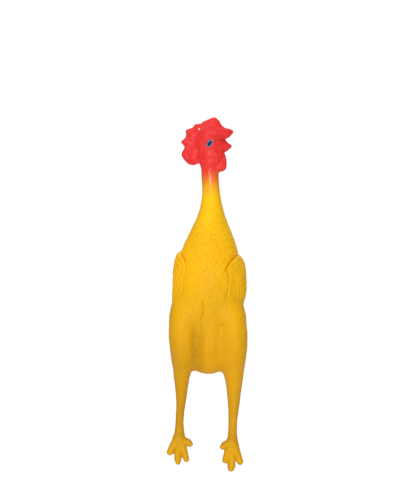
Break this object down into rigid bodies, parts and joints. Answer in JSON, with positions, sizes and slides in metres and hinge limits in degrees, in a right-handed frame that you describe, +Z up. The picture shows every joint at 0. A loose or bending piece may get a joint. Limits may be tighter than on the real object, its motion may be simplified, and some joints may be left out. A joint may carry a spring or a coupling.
{
  "type": "rubber chicken squeeze toy",
  "caption": "Hollow latex chicken with bare body, red comb and head, dangling legs and a squeaker in the back; hangs by its comb.",
  "frame": {"origin": "centre of the tag hole through the comb, halfway through its thickness", "axes": "+Z up along the body towards the head as the toy hangs, +Y from the breast to the back, along the tag hole, +X the way the beak points"},
  "size_m": [0.0674, 0.0482, 0.3008],
  "materials": {
    "latex_yellow": "satin",
    "latex_red": "satin",
    "paint_blue": "gloss",
    "paint_navy": "gloss",
    "squeaker_plastic": "satin",
    "reed_film": "satin"
  },
  "bodies": {
    "head": {"head_shell": "latex_red", "comb": "latex_red", "beak_upper": "latex_red", "beak_lower": "latex_red", "wattle_left": "latex_red", "wattle_right": "latex_red", "eye_left": "paint_blue", "eye_right": "paint_blue", "pupil_left": "paint_navy", "pupil_right": "paint_navy"},
    "neck_top": {"neck_upper": "latex_yellow"},
    "neck_base": {"neck_lower": "latex_yellow"},
    "torso": {"torso_shell": "latex_yellow", "wing_left": "latex_yellow", "wing_right": "latex_yellow", "thigh_left": "latex_yellow", "thigh_right": "latex_yellow", "tail": "latex_yellow", "squeaker_cup": "squeaker_plastic", "reed_block_upper": "squeaker_plastic", "reed_block_lower": "squeaker_plastic"},
    "belly": {"belly_wall": "latex_yellow"},
    "reed": {"squeaker_reed": "reed_film"},
    "left_shank": {"shank_upper_left": "latex_yellow"},
    "left_ankle": {"shank_lower_left": "latex_yellow"},
    "left_foot": {"foot_left": "latex_yellow"},
    "right_shank": {"shank_upper_right": "latex_yellow"},
    "right_ankle": {"shank_lower_right": "latex_yellow"},
    "right_foot": {"foot_right": "latex_yellow"}
  },
  "joints": [
    {"name": "neck_twist", "type": "hinge", "parent": "head", "child": "neck_top", "pos_m": [0.0099, 0, -0.04], "axis": [0, 0, 1], "range_deg": [-60, 60], "stiffness_Nm_per_rad": 0.02},
    {"name": "neck_side_bend", "type": "hinge", "parent": "neck_top", "child": "neck_base", "pos_m": [0.0099, 0, -0.0535], "axis": [0, 1, 0], "range_deg": [-55, 55], "stiffness_Nm_per_rad": 0.03},
    {"name": "neck_fore_bend", "type": "hinge", "parent": "neck_base", "child": "torso", "pos_m": [0.0099, 0, -0.069], "axis": [1, 0, 0], "range_deg": [-55, 55], "stiffness_Nm_per_rad": 0.04},
    {"name": "belly_squeeze", "type": "slide", "parent": "torso", "child": "belly", "axis": [0, 1, 0], "range_m": [0, 0.009], "stiffness_N_per_m": 800},
    {"name": "reed_flex", "type": "hinge", "parent": "torso", "child": "reed", "pos_m": [0.0077, 0.01465, -0.172], "axis": [1, 0, 0], "range_deg": [-4, 4], "stiffness_Nm_per_rad": 0.00002},
    {"name": "left_leg_swing", "type": "hinge", "parent": "torso", "child": "left_shank", "pos_m": [0.0292, 0, -0.222], "axis": [1, 0, 0], "range_deg": [-60, 60], "stiffness_Nm_per_rad": 0.008},
    {"name": "left_leg_splay", "type": "hinge", "parent": "left_shank", "child": "left_ankle", "pos_m": [0.0292, 0, -0.238], "axis": [0, -1, 0], "range_deg": [-12, 50], "stiffness_Nm_per_rad": 0.006},
    {"name": "left_foot_flex", "type": "hinge", "parent": "left_ankle", "child": "left_foot", "pos_m": [0.0292, 0, -0.2535], "axis": [1, 0, 0], "range_deg": [-60, 60], "stiffness_Nm_per_rad": 0.004},
    {"name": "right_leg_swing", "type": "hinge", "parent": "torso", "child": "right_shank", "pos_m": [-0.0157, 0, -0.221], "axis": [1, 0, 0], "range_deg": [-60, 60], "stiffness_Nm_per_rad": 0.008},
    {"name": "right_leg_splay", "type": "hinge", "parent": "right_shank", "child": "right_ankle", "pos_m": [-0.0157, 0, -0.235], "axis": [0, 1, 0], "range_deg": [-12, 50], "stiffness_Nm_per_rad": 0.006},
    {"name": "right_foot_flex", "type": "hinge", "parent": "right_ankle", "child": "right_foot", "pos_m": [-0.0157, 0, -0.249], "axis": [1, 0, 0], "range_deg": [-60, 60], "stiffness_Nm_per_rad": 0.004}
  ]
}
